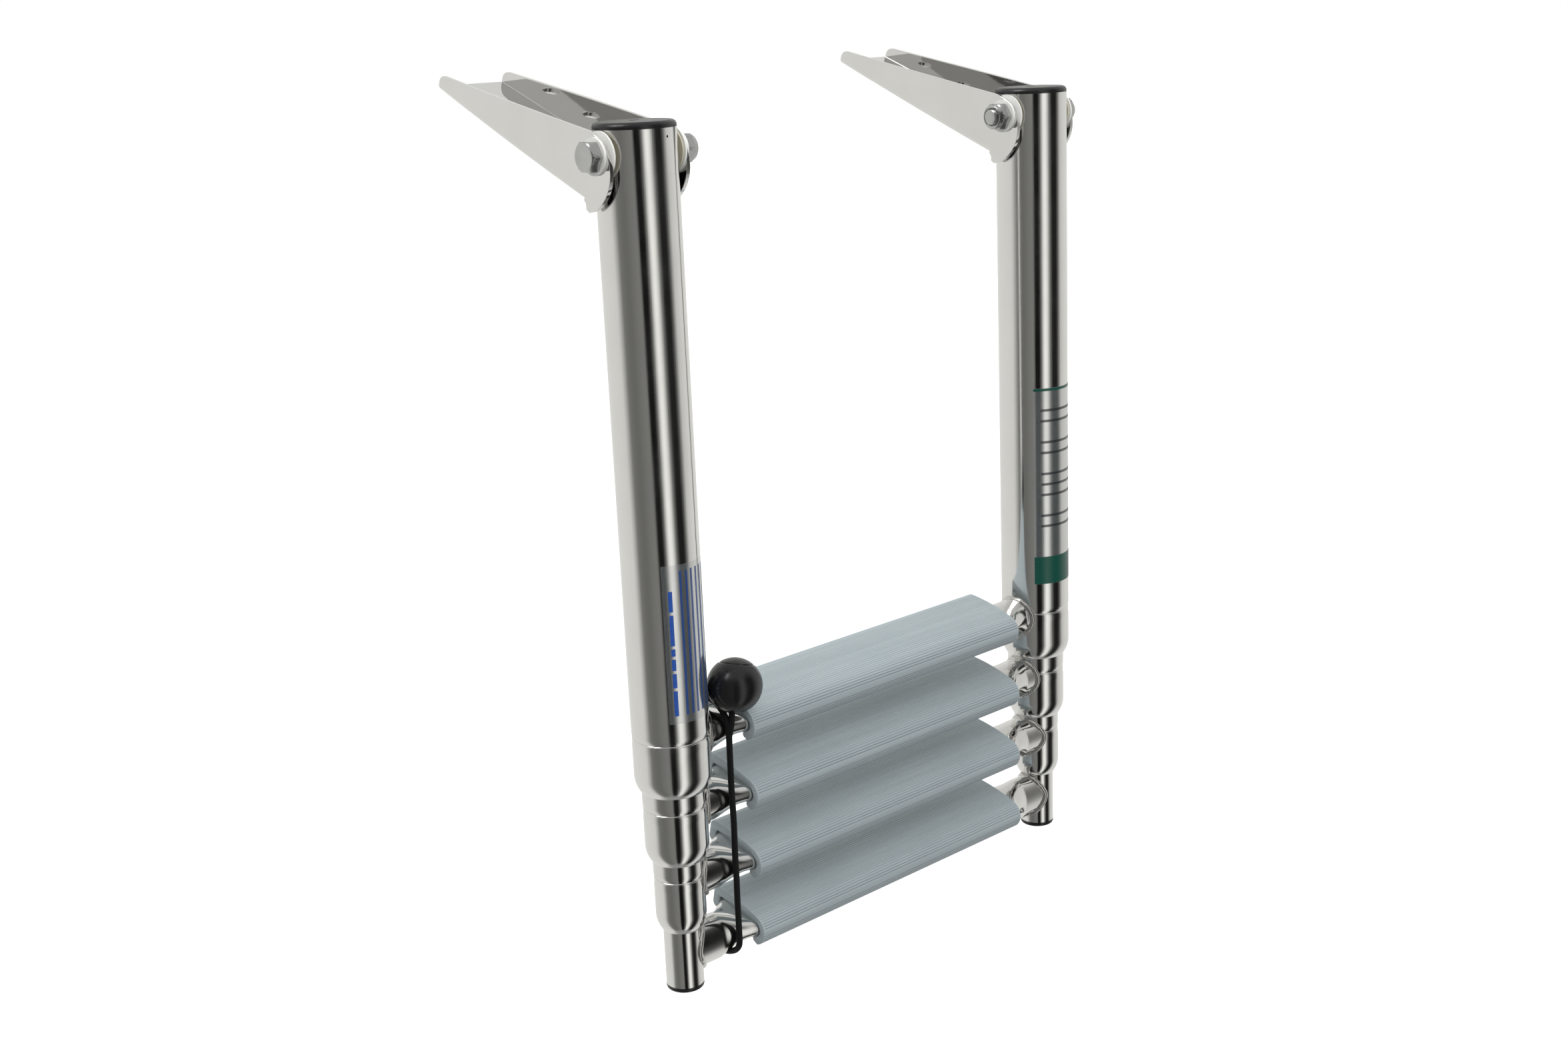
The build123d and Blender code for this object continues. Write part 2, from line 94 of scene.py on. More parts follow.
# ---------------------------------------------------------------------------
# Materials
class Nodes:
    """Short ways to add and wire the nodes of one shader tree."""

    NOISE_ROUGHNESS = 0.55
    BEVEL_SAMPLES = 4
    # Where a mix node in colour mode has its two colours and its result.
    MIX_COLOURS, MIX_RESULT = (6, 7), 2

    def __init__(self, tree):
        self.tree = tree

    def node(self, kind, **inputs):
        made = self.tree.nodes.new(kind)
        for key, value in inputs.items():
            self.feed(made, key.replace("_", " "), value)
        return made

    def feed(self, node, key, value):
        """Links a socket to an input, or gives the input a plain value."""
        if isinstance(value, bpy.types.NodeSocket):
            self.tree.links.new(value, node.inputs[key])
        else:
            node.inputs[key].default_value = value

    def position(self, stretch=(1, 1, 1)):
        """Object coordinates: the objects sit at the origin, so these are metres."""
        where = self.node("ShaderNodeTexCoord").outputs["Object"]
        return self.node("ShaderNodeMapping", Vector=where, Scale=stretch).outputs["Vector"]

    def noise(self, scale, detail, stretch=(1, 1, 1)):
        made = self.node("ShaderNodeTexNoise", Vector=self.position(stretch), Scale=scale,
                         Detail=detail, Roughness=self.NOISE_ROUGHNESS)
        return made.outputs["Fac"]

    def remap(self, value, low, high, start=0.0, end=1.0, smooth=False):
        """Takes start..end to low..high."""
        made = self.node("ShaderNodeMapRange", Value=value, From_Min=start, From_Max=end,
                         To_Min=low, To_Max=high)
        if smooth:
            made.interpolation_type = "SMOOTHSTEP"
        return made.outputs["Result"]

    def blend(self, factor, first, second):
        made = self.node("ShaderNodeMix")
        made.data_type = "RGBA"
        self.feed(made, 0, factor)
        for index, colour in zip(self.MIX_COLOURS, (first, second)):
            plain = not isinstance(colour, bpy.types.NodeSocket)
            self.feed(made, index, (*colour, 1.0) if plain else colour)
        return made.outputs[self.MIX_RESULT]

    def choose(self, flag, otherwise, chosen):
        """One shader where the flag is 1, the other where it is 0."""
        made = self.node("ShaderNodeMixShader")
        for index, value in enumerate((flag, otherwise, chosen)):
            self.feed(made, index, value)
        return made.outputs[0]

    def math(self, operation, first, second):
        made = self.node("ShaderNodeMath")
        made.operation = operation
        for index, value in enumerate((first, second)):
            self.feed(made, index, value)
        return made.outputs[0]

    def bump(self, height, distance, strength, normal=None):
        made = self.node("ShaderNodeBump", Height=height, Distance=distance, Strength=strength)
        if normal is not None:
            self.feed(made, "Normal", normal)
        return made.outputs["Normal"]

    def soft_edges(self, radius):
        made = self.node("ShaderNodeBevel", Radius=radius)
        made.samples = self.BEVEL_SAMPLES
        return made.outputs["Normal"]


class Shader(Nodes):
    """A Principled material built out of nodes."""

    def __init__(self, name):
        self.material = bpy.data.materials.new(name)
        self.material.use_nodes = True
        super().__init__(self.material.node_tree)

    def finish(self, **inputs):
        """Feeds the Principled node and returns the material."""
        surface = self.tree.nodes["Principled BSDF"]
        for key, value in inputs.items():
            self.feed(surface, key.replace("_", " "), value)
        return self.material


def polished_steel(name, rough=(0.07, 0.15), edge=0.0, mirrored=1.0):
    """Stainless steel polished to a near mirror, with faint cloudiness and buffing marks.

    `mirrored` sets a painted shade: the metal's colour is darker where it is seen in other metal.
    """
    s = Shader(name)
    clouds = s.noise(38.0, detail=4.0)
    marks = s.noise(900.0, detail=2.0, stretch=(1.0, 1.0, 0.12))
    colour = s.blend(clouds, (0.86, 0.855, 0.84), (0.78, 0.775, 0.76))
    # Painted shade: where this metal is seen in a reflection, its colour is made darker.
    if mirrored < 1.0:
        again = s.node("ShaderNodeLightPath").outputs["Is Glossy Ray"]
        colour = s.blend(again, colour, tuple(mirrored * c for c in (0.82, 0.815, 0.80)))
    fine = s.remap(marks, -0.02, 0.03)
    roughness = s.math("ADD", s.remap(clouds, *rough, 0.3, 0.7), fine)
    edges = s.soft_edges(edge) if edge else None
    ripple = s.bump(s.noise(55.0, detail=2.0), distance=0.00012, strength=0.35, normal=edges)
    normal = s.bump(marks, distance=0.000006, strength=0.5, normal=ripple)
    return s.finish(Base_Color=colour, Metallic=1.0, Roughness=roughness, Normal=normal)


def fastener_steel(name):
    """Turned and tumbled steel, duller than the tubes."""
    s = Shader(name)
    grain = s.noise(1500.0, detail=3.0)
    colour = s.blend(s.noise(160.0, detail=3.0), (0.60, 0.60, 0.59), (0.48, 0.48, 0.475))
    roughness = s.remap(grain, 0.16, 0.30, 0.25, 0.75)
    edges = s.soft_edges(0.00025)
    normal = s.bump(grain, distance=0.00002, strength=0.6, normal=edges)
    return s.finish(Base_Color=colour, Metallic=1.0, Roughness=roughness, Normal=normal)


def weld_steel(name):
    """Polished-over weld metal: bright, with a ripple and a little heat tint."""
    s = Shader(name)
    colour = s.blend(s.noise(220.0, detail=3.0), (0.80, 0.79, 0.76), (0.58, 0.565, 0.54))
    roughness = s.remap(s.noise(700.0, detail=2.0), 0.14, 0.3, 0.3, 0.7)
    normal = s.bump(s.noise(300.0, detail=2.0), distance=0.00012, strength=0.5)
    return s.finish(Base_Color=colour, Metallic=1.0, Roughness=roughness, Normal=normal)


def plastic(name, light, dark, rough, grain_scale=1400.0, grain_depth=0.00001, edge=0.0):
    """Moulded plastic: two close shades, a grain and uneven gloss."""
    s = Shader(name)
    grain = s.noise(grain_scale, 3.0)
    colour = s.blend(s.remap(s.noise(60.0, detail=4.0), 0.0, 1.0, 0.35, 0.65), light, dark)
    roughness = s.remap(grain, *rough, 0.25, 0.75)
    edges = s.soft_edges(edge) if edge else None
    normal = s.bump(grain, distance=grain_depth, strength=0.6, normal=edges)
    return s.finish(Base_Color=colour, Roughness=roughness, Normal=normal)


def tread_plastic(name):
    """Grey moulded tread: streaks along the extrusion, a matt grain, and painted shade darkening
    the grooves.
    """
    s = Shader(name)
    streaks = s.remap(s.noise(420.0, detail=3.0, stretch=(0.02, 1.0, 1.0)), 0.0, 1.0, 0.3, 0.7)
    clouds = s.remap(s.noise(30.0, detail=3.0), 0.0, 0.35, 0.35, 0.7)
    streaky = s.blend(streaks, (0.350, 0.400, 0.420), (0.305, 0.352, 0.372))
    cloudy = s.blend(clouds, streaky, (0.28, 0.33, 0.35))
    groove = s.node("ShaderNodeAttribute")
    groove.attribute_name = "groove"
    groove_shade = s.remap(groove.outputs["Fac"], 0.0, 0.75)
    # Painted shade: the colour darkens with the depth of each groove.
    colour = s.blend(groove_shade, cloudy, (0.17, 0.20, 0.215))
    roughness = s.remap(s.noise(1800.0, detail=2.0), 0.36, 0.52, 0.25, 0.75)
    normal = s.bump(s.noise(2600.0, detail=2.0), distance=0.00002, strength=0.5)
    return s.finish(Base_Color=colour, Roughness=roughness, Normal=normal)


def braided_cord(name):
    """Black elastic cord: a tight woven sheath with a dull sheen."""
    s = Shader(name)
    wave = s.node("ShaderNodeTexWave", Vector=s.position(), Scale=900.0, Distortion=2.0)
    wave.bands_direction = "DIAGONAL"
    weave = wave.outputs["Fac"]
    colour = s.blend(weave, (0.0025, 0.0028, 0.003), (0.006, 0.0065, 0.0075))
    roughness = s.remap(s.noise(1200.0, detail=2.0), 0.45, 0.7, 0.3, 0.7)
    normal = s.bump(weave, distance=0.00004, strength=0.5)
    return s.finish(Base_Color=colour, Roughness=roughness, Normal=normal,
                    Specular_IOR_Level=0.25)


def clear_film(name, colour, alpha):
    """Thin self-adhesive film with slightly uneven gloss."""
    s = Shader(name)
    clouds = s.noise(90.0, detail=3.0)
    shade = s.blend(clouds, colour, tuple(0.85 * c for c in colour))
    roughness = s.remap(clouds, 0.06, 0.2, 0.3, 0.7)
    return s.finish(Base_Color=shade, Roughness=roughness, Alpha=alpha)


def printed_film(name, light, dark, alpha):
    """Ink on the film: a fine print dither."""
    s = Shader(name)
    dots = s.noise(2200.0, detail=2.0)
    roughness = s.remap(dots, 0.2, 0.34, 0.3, 0.7)
    return s.finish(Base_Color=s.blend(dots, light, dark), Roughness=roughness, Alpha=alpha)


def paper_white(name):
    """The floor: matt, nearly white and faintly lit from within."""
    s = Shader(name)
    colour = s.blend(s.noise(2.0, detail=3.0), (0.97, 0.97, 0.97), (0.95, 0.95, 0.95))
    return s.finish(Base_Color=colour, Roughness=0.9, Emission_Color=(1.0, 1.0, 1.0, 1.0),
                    Emission_Strength=0.2)


steel_tube = polished_steel("steel_tube")
# The brackets carry painted shade: their metal is darker where it is seen in other metal.
steel_sheet = polished_steel("steel_sheet", rough=(0.02, 0.06), edge=0.0005, mirrored=0.6)
steel_rung = polished_steel("steel_rung", rough=(0.06, 0.12))
steel_weld = weld_steel("steel_weld")
steel_fastener = fastener_steel("steel_fastener")
nylon_white = plastic("nylon_white", (0.86, 0.86, 0.83), (0.78, 0.78, 0.75),
                      rough=(0.32, 0.5), edge=0.0002)
nylon_natural = plastic("nylon_natural", (0.66, 0.63, 0.50), (0.58, 0.55, 0.43),
                        rough=(0.3, 0.45))
nylon_dark = plastic("nylon_dark", (0.10, 0.10, 0.095), (0.06, 0.06, 0.058),
                     rough=(0.35, 0.5))
cap_black = plastic("cap_black", (0.012, 0.012, 0.013), (0.006, 0.006, 0.007),
                    rough=(0.24, 0.4), grain_scale=900.0, grain_depth=0.00002)
ball_black = plastic("ball_black", (0.008, 0.008, 0.009), (0.005, 0.005, 0.006),
                     rough=(0.2, 0.3), grain_scale=700.0, grain_depth=0.00003)
tread_grey = tread_plastic("tread_grey")
cord_black = braided_cord("cord_black")
film_clear = clear_film("film_clear", (0.60, 0.64, 0.66), alpha=0.07)
print_blue = printed_film("print_blue", (0.008, 0.06, 0.32), (0.016, 0.085, 0.38), alpha=0.95)
print_faint = printed_film("print_faint", (0.02, 0.08, 0.34), (0.04, 0.12, 0.38), alpha=0.45)
print_grey = printed_film("print_grey", (0.03, 0.035, 0.04), (0.05, 0.055, 0.06), alpha=0.35)
print_green = printed_film("print_green", (0.004, 0.060, 0.042), (0.006, 0.075, 0.052), alpha=1.0)


# ---------------------------------------------------------------------------
# Mesh helpers
def add_object(name, verts, faces, material, body, slot, replaces=(), crisp=None):
    """A smooth-shaded piece on a body. Edges steeper than `crisp` degrees stay sharp."""
    mesh = bpy.data.meshes.new(name)
    mesh.from_pydata([tuple(v) for v in verts], [], faces)
    mesh.update()
    mesh.materials.append(material)
    made = bpy.data.objects.new(name, mesh)
    scene.collection.objects.link(made)
    mesh.shade_smooth()
    if crisp is not None:
        mesh.set_sharp_from_angle(angle=math.radians(crisp))
    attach(made, body)
    if replaces:
        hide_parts(*replaces)
    return made


def skin(rings, closed_path=False, cap_ends=True):
    """Quads between rings that hold the same number of points; the ends may be capped.

    They face outward when the rings turn clockwise, seen along the path; others get
    `reversed_faces`.
    """
    count = len(rings[0])
    verts = [p for ring in rings for p in ring]
    faces = []
    spans = len(rings) if closed_path else len(rings) - 1
    for i in range(spans):
        a, b = i * count, ((i + 1) % len(rings)) * count
        for j in range(count):
            k = (j + 1) % count
            faces.append((a + j, a + k, b + k, b + j))
    if cap_ends and not closed_path:
        faces.append(tuple(range(count - 1, -1, -1)))
        last = (len(rings) - 1) * count
        faces.append(tuple(last + j for j in range(count)))
    return verts, faces


def reversed_faces(faces):
    return [tuple(reversed(face)) for face in faces]


def full_turn(count):
    """The angles of `count` even steps round a circle."""
    return [2 * math.pi * i / count for i in range(count)]


def clamp(t):
    return min(max(t, 0.0), 1.0)


def smoothstep(t):
    t = clamp(t)
    return t * t * (3 - 2 * t)


def mix(a, b, t):
    return a + (b - a) * t


def arc_points(start, middle, end, step):
    """Points along the circle arc through three 2-D points, about a step apart."""
    (ax, ay), (bx, by), (cx, cy) = start, middle, end
    d = 2 * (ax * (by - cy) + bx * (cy - ay) + cx * (ay - by))
    a2, b2, c2 = ax * ax + ay * ay, bx * bx + by * by, cx * cx + cy * cy
    ux = (a2 * (by - cy) + b2 * (cy - ay) + c2 * (ay - by)) / d
    uy = (a2 * (cx - bx) + b2 * (ax - cx) + c2 * (bx - ax)) / d
    radius = math.hypot(ax - ux, ay - uy)
    first = math.atan2(ay - uy, ax - ux)
    via = (math.atan2(by - uy, bx - ux) - first) % (2 * math.pi)
    turn = (math.atan2(cy - uy, cx - ux) - first) % (2 * math.pi)
    if via > turn:
        turn -= 2 * math.pi
    count = max(2, round(abs(turn) * radius / step))
    angles = [first + turn * i / count for i in range(count + 1)]
    return [(ux + radius * math.cos(a), uy + radius * math.sin(a)) for a in angles]


def line_points(start, end, step):
    """Points along a straight 2-D line, about a step apart."""
    count = max(1, round(math.dist(start, end) / step))
    return [(mix(start[0], end[0], i / count), mix(start[1], end[1], i / count))
            for i in range(count + 1)]


# ---------------------------------------------------------------------------
# Treads: a moulded cover with fine ribs along the step
TILT = math.radians(13.0)
TREAD_HALF = 99.0
HALF_RUNG = 15.95
# Heights inside the hollow: its roof, the lip under the rung, and the middle of the rung.
ROOF, FLOOR, MIDDLE = 4.75, -2.95, 0.9
RIB_PITCH = 1.42
RIB_DEPTH = 0.34
# (distance round from the lower lip, number of grooves): under the nose, then over it.
RIB_RUNS = ((5.2, 3), (12.2, 26))
GROOVE_HALF_SHARE = 0.26
# Past the nose the grooves fade by this share, from a distance and over a distance.
WORN_SHARE, WORN_FROM, WORN_OVER = 0.40, 13.0, 10.0
# (in from the end, rounding, share of the rib depth)
TREAD_ENDS = ((0.0, 0.2, 0.0), (0.08, 0.07, 0.0), (0.25, 0.0, 0.0), (0.7, 0.0, 0.5),
              (1.2, 0.0, 1.0))
TREAD_STATIONS = (-66, -33, 0, 33, 66)


def tread_outline():
    """The tread's section in its own tilted plane: the outside, then the hollow."""
    lip, brow, rear, rear_edge = (-15.4, -6.8), (-12.5, 8.6), (17.0, 9.2), (20.2, 5.4)
    rear_foot, heel = (20.2, 0.6), (17.7, -3.2)
    outside = arc_points(lip, (-19.8, 0.6), brow, step=0.2)
    outside += arc_points(brow, (2.0, 9.8), rear, step=0.2)[1:]
    outside += arc_points(rear, (19.4, 8.0), rear_edge, step=0.2)[1:]
    outside += line_points(rear_edge, rear_foot, step=0.5)[1:]
    outside += arc_points(rear_foot, (19.6, -2.0), heel, step=0.5)[1:]
    low_corner, high_corner = (HALF_RUNG - 0.9, -2.0), (HALF_RUNG - 1.2, ROOF)
    hook = -HALF_RUNG + 3.2
    tip = (hook - 0.6, FLOOR - 3.3)
    inside = line_points(heel, low_corner, step=0.6)[1:]
    inside += arc_points(low_corner, (HALF_RUNG, MIDDLE), high_corner, step=0.6)[1:]
    inside += line_points(high_corner, (hook, ROOF), step=1.5)[1:]
    inside += arc_points((hook, ROOF), (-HALF_RUNG, MIDDLE), (hook, FLOOR), step=0.4)[1:]
    inside += arc_points((hook, FLOOR), (hook + 1.0, FLOOR - 1.6), tip, step=0.5)[1:]
    inside += line_points(tip, lip, step=0.5)[1:-1]
    return outside, inside


def tread_profile():
    """(point, outward normal, rib depth) round the tread."""
    outside, inside = tread_outline()
    points = outside + inside
    count = len(points)
    result, run = [], 0.0
    for i, point in enumerate(points):
        before, after = points[i - 1], points[(i + 1) % count]
        tx, ty = after[0] - before[0], after[1] - before[1]
        length = math.hypot(tx, ty)
        depth = 0.0
        if i < len(outside):
            if i:
                run += math.dist(before, point)
            depth = rib_depth(run)
        result.append((point, (-ty / length, tx / length), depth))
    return result


def rib_depth(run):
    """Groove depth at a distance round from the lower lip: deep at the nose, fainter on top."""
    for start, count in RIB_RUNS:
        if start <= run <= start + count * RIB_PITCH:
            phase = ((run - start) / RIB_PITCH) % 1.0
            groove = max(0.0, 1.0 - abs(phase - 0.5) / GROOVE_HALF_SHARE)
            worn = 1.0 - WORN_SHARE * smoothstep((run - WORN_FROM) / WORN_OVER)
            return RIB_DEPTH * worn * smoothstep(groove)
    return 0.0


def make_tread(section):
    profile = tread_profile()
    # The section turns about the middle of the rung.
    origin_y = MIDDLE * math.sin(TILT)
    origin_z = seam_height(section) + MIDDLE * (1 - math.cos(TILT))
    stations = [(inward - TREAD_HALF, rounding, share) for inward, rounding, share in TREAD_ENDS]
    stations += [(x, 0.0, 1.0) for x in TREAD_STATIONS]
    stations += [(TREAD_HALF - inward, rounding, share)
                 for inward, rounding, share in reversed(TREAD_ENDS)]
    rings = []
    for x, rounding, share in stations:
        ring = []
        for (p, q), (normal_p, normal_q), depth in profile:
            inset = depth * share + rounding
            p2, q2 = p - normal_p * inset, q - normal_q * inset
            y = origin_y + p2 * math.cos(TILT) - q2 * math.sin(TILT)
            z = origin_z + p2 * math.sin(TILT) + q2 * math.cos(TILT)
            ring.append(at(x, y, z))
        rings.append(ring)
    verts, faces = skin(rings)
    made = add_object(f"tread_{section}_ribbed", verts, reversed_faces(faces), tread_grey,
                      f"section_{section}", "tread_plastic", (f"tread_{section}",), crisp=50)
    # How deep in a groove each point lies; the material paints shade into the grooves with it.
    grooves = made.data.attributes.new("groove", "FLOAT", "POINT")
    grooves.data.foreach_set("value", [depth * share / RIB_DEPTH
                                       for _, _, share in stations for _, _, depth in profile])


# ---------------------------------------------------------------------------
# Rungs: a round tube pressed flat in the middle, tapering out to a round end at each tube
PRESS_START, PRESS_END = 97.0, 116.0
FLAT_HALF_WIDTH, FLAT_HALF_HEIGHT, FLAT_RISE = 15.8, 3.7, 0.9
# (half width, half height, height over the seam) where a rung meets its tubes
ROUND_END = (11.1, 11.1, -2.1)
FOOT_END = (9.0, 12.3, -3.0)
RUNG_POINTS = 120
RUNG_STEPS = 48
RUNG_LEAD = 2.0
TAPER_EASE = 0.25
OVAL_BY = 0.55
# A rung ends this deep in its tube, in the middle of the tube's wall.
RUNG_DEPTH = 0.6


def rung_end(section):
    """Half width, half height and height over the seam of a rung's ends."""
    return FOOT_END if section == 4 else ROUND_END


def slot_reach(long, short, along, across):
    """Distance from the middle of a rounded slot to its edge, in a unit direction."""
    straight = long - short
    if short * abs(along) <= straight * abs(across):
        return short / abs(across)
    return straight * abs(along) + math.sqrt(max(short ** 2 - (straight * across) ** 2, 0.0))


def rung_point(section, reach, angle):
    """(y, z from the seam) round the rung, at a distance from its middle."""
    end_width, end_height, end_z = rung_end(section)
    t = clamp((reach - PRESS_START) / (PRESS_END - PRESS_START))
    t = (1 - TAPER_EASE) * t + TAPER_EASE * smoothstep(t)
    width = mix(FLAT_HALF_WIDTH, end_width, t)
    height = mix(FLAT_HALF_HEIGHT, end_height, t)
    middle = mix(FLAT_RISE, end_z, t)
    y, z = width * math.cos(angle), height * math.sin(angle)
    length = math.hypot(y, z)
    y, z = y / length, z / length
    if width > height:
        slotted = slot_reach(width, height, y, z)
    else:
        slotted = slot_reach(height, width, z, y)
    oval = 1.0 / math.hypot(y / width, z / height)
    r = mix(slotted, oval, smoothstep(t / OVAL_BY))
    y, z = r * y, r * z
    c, s = math.cos(TILT * (1 - t)), math.sin(TILT * (1 - t))
    return y * c - z * s, middle + y * s + z * c


def rung_section(section, reach):
    """Closed outline of the rung at a distance from its middle."""
    return [rung_point(section, reach, angle) for angle in full_turn(RUNG_POINTS)]


def make_rung(section):
    seam = seam_height(section)
    wall = tube_radius(section) - RUNG_DEPTH
    last = rung_section(section, PRESS_END)
    reach_end = [tube_x - math.sqrt(max(wall * wall - y * y, 1.0)) for y, _ in last]
    start = PRESS_START - RUNG_LEAD
    half = []
    for i in range(RUNG_STEPS + 1):
        ring = []
        for angle, reach in zip(full_turn(RUNG_POINTS), reach_end):
            x = mix(start, reach, i / RUNG_STEPS)
            y, z = rung_point(section, x, angle)
            ring.append((x, y, seam + z))
        half.append(ring)
    rings = [[at(-x, y, z) for x, y, z in ring] for ring in reversed(half)]
    rings += [[at(x, y, z) for x, y, z in ring] for ring in half]
    verts, faces = skin(rings, cap_ends=False)
    # Inside each tube the rung closes in a low cone.
    count = len(last)
    for side, first in ((-1, 0), (1, (len(rings) - 1) * count)):
        middle = len(verts)
        verts.append(at(side * (tube_x - wall), 0, seam + rung_end(section)[2]))
        cone = [(first + j, first + (j + 1) % count, middle) for j in range(count)]
        faces += cone if side > 0 else [(b, a, tip) for a, b, tip in cone]
    add_object(f"rung_{section}_pressed", verts, faces, steel_rung, f"section_{section}",
               "stainless_steel", (f"rung_{section}",), crisp=60)


# ---------------------------------------------------------------------------
# Weld beads: rippled runs round both ends of every rung
WELD_STEPS = 240
WELD_POINTS = 14
WELD_HALF_WIDTH = 1.32
WELD_FLATTENING = 1.15
WELD_RIPPLE, WELD_RIPPLES = 0.045, 22
# The slow change in width: its size, and its pace along the steps.
WELD_WANDER, WELD_WANDER_PACE = 0.12, 0.11
# The bead's middle lies this far outside the rung and this far off the tube.
WELD_OUT, WELD_OFF = 0.15, 0.1
# Nothing of a bead goes higher than this over the seam, or deeper than this into the tube.
WELD_TOP, WELD_BITE = 9.55, 0.5


def even_path(outline, steps):
    """Points at even distances round a closed outline."""
    corners = outline + outline[:1]
    total = [0.0]
    for a, b in zip(corners, corners[1:]):
        total.append(total[-1] + math.dist(a, b))
    path = []
    for i in range(steps):
        want = total[-1] * i / steps
        j = max(k for k in range(len(outline)) if total[k] <= want + 1e-9)
        t = (want - total[j]) / (total[j + 1] - total[j])
        a, b = corners[j], corners[j + 1]
        path.append((mix(a[0], b[0], t), mix(a[1], b[1], t)))
    return path


def weld_ring(section, side, path, i):
    """One cross-section of the bead, at a step of its path."""
    seam, radius = seam_height(section), tube_radius(section)
    y, z = path[i]
    out = Vector((0.0, y, z - rung_end(section)[2])).normalized()
    y, z = y + out.y * WELD_OUT, z + out.z * WELD_OUT
    spot = Vector((tube_x - math.sqrt((radius + WELD_OFF) ** 2 - y * y), y, z))
    before, after = path[i - 1], path[(i + 1) % WELD_STEPS]
    tangent = Vector((
        math.sqrt(radius ** 2 - before[0] ** 2) - math.sqrt(radius ** 2 - after[0] ** 2),
        after[0] - before[0], after[1] - before[1])).normalized()
    across = tangent.cross(out).normalized()
    ripple = WELD_RIPPLE * math.sin(i * 2 * math.pi * WELD_RIPPLES / WELD_STEPS)
    # Far apart in the noise, so that no two beads are alike.
    place = Vector((i * WELD_WANDER_PACE, section * 7.0, side * 3.0))
    wander = WELD_WANDER * noise.noise(place)
    wide = WELD_HALF_WIDTH + ripple + wander
    ring = []
    for a in full_turn(WELD_POINTS):
        p = spot + out * (wide * math.cos(a)) + across * (wide * WELD_FLATTENING * math.sin(a))
        p.z = min(p.z, WELD_TOP)
        gap = math.hypot(p.x - tube_x, p.y)
        shell = radius - WELD_BITE
        if gap < shell:
            p.x = tube_x + (p.x - tube_x) * shell / gap
            p.y *= shell / gap
        ring.append(at(side * p.x, p.y, seam + p.z))
    return ring


def make_welds(section):
    path = even_path(rung_section(section, PRESS_END), WELD_STEPS)
    verts, faces = [], []
    for side in SIDES.values():
        rings = [weld_ring(section, side, path, i) for i in range(WELD_STEPS)]
        ring_verts, ring_faces = skin(rings, closed_path=True)
        if side < 0:
            ring_faces = reversed_faces(ring_faces)
        faces += [tuple(len(verts) + v for v in face) for face in ring_faces]
        verts += ring_verts
    add_object(f"weld_run_{section}", verts, faces, steel_weld, f"section_{section}",
               "weld_steel", (f"weld_beads_{section}",))


for number in SECTIONS:
    make_tread(number)
    make_rung(number)
    make_welds(number)


# ---------------------------------------------------------------------------
# Ball (metres): a moulded ball with a shallow step round a cap at its top
BALL_RINGS = 72
BALL_POINTS = 96
BALL_AXIS = Vector((0.30, 0.12, 1.0)).normalized()
BALL_CAP_ANGLE = math.radians(39.0)
BALL_CAP_STEP = 0.00012
BALL_GROOVE_DEPTH, BALL_GROOVE_ANGLE = 0.0006, 0.022
# Extra rings each side of the groove, as angles in radians.
BALL_GROOVE_RINGS = (-0.055, -0.03, -0.012, 0.0, 0.012, 0.03, 0.055)


def make_ball():
    middle, radius = centre("bungee_ball"), half_width("bungee_ball")
    side = BALL_AXIS.orthogonal().normalized()
    other = BALL_AXIS.cross(side)
    polar = [math.pi * i / BALL_RINGS for i in range(1, BALL_RINGS)]
    polar = sorted(polar + [BALL_CAP_ANGLE + extra for extra in BALL_GROOVE_RINGS])
    rings = []
    for angle in polar:
        off = (angle - BALL_CAP_ANGLE) / BALL_GROOVE_ANGLE
        depth = BALL_GROOVE_DEPTH * math.exp(-(off ** 2))
        if angle < BALL_CAP_ANGLE:
            depth += BALL_CAP_STEP
        r = radius - depth
        rings.append([
            middle + BALL_AXIS * (r * math.cos(angle))
            + (side * math.cos(t) + other * math.sin(t)) * (r * math.sin(angle))
            for t in full_turn(BALL_POINTS)
        ])
    verts, faces = skin(rings, cap_ends=False)
    top, bottom = len(verts), len(verts) + 1
    verts += [middle + BALL_AXIS * (radius - BALL_CAP_STEP), middle - BALL_AXIS * radius]
    last = (len(rings) - 1) * BALL_POINTS
    for k in range(BALL_POINTS):
        n = (k + 1) % BALL_POINTS
        faces.append((n, k, top))
        faces.append((last + k, last + n, bottom))
    add_object("ball_moulded", verts, reversed_faces(faces), ball_black, "section_1",
               "ball_plastic", ("bungee_ball",))


# ---------------------------------------------------------------------------
# Cord (metres): a closed elastic loop over rung 1 and under rung 4, and the tail into the ball
CORD_RADIUS = 0.0016
CORD_INSET = 0.00175
# How far the loop hangs below the seam of section 4.
CORD_SAG = 0.0122
# The loop's slow sideways sway: its size, and its pace along the points.
CORD_WANDER, CORD_WANDER_PACE = 0.0004, 0.12
STRAIGHT_STEPS, BEND_STEPS, TAIL_STEPS = 40, 24, 14
TAIL_START, TAIL_BEND = 0.002, 0.0006
# How deep the tail goes into the ball, and how much thicker it is than the loop.
TAIL_DEPTH, TAIL_SWELL = 0.0012, 1.02
# The braid: length of a ring, points round it, strands, their slope (radians per metre) and
# relief (share of the radius).
BRAID_STEP, BRAID_POINTS, BRAID_STRANDS = 0.0004, 28, 8
BRAID_SLOPE, BRAID_RELIEF = 3000.0, 0.015


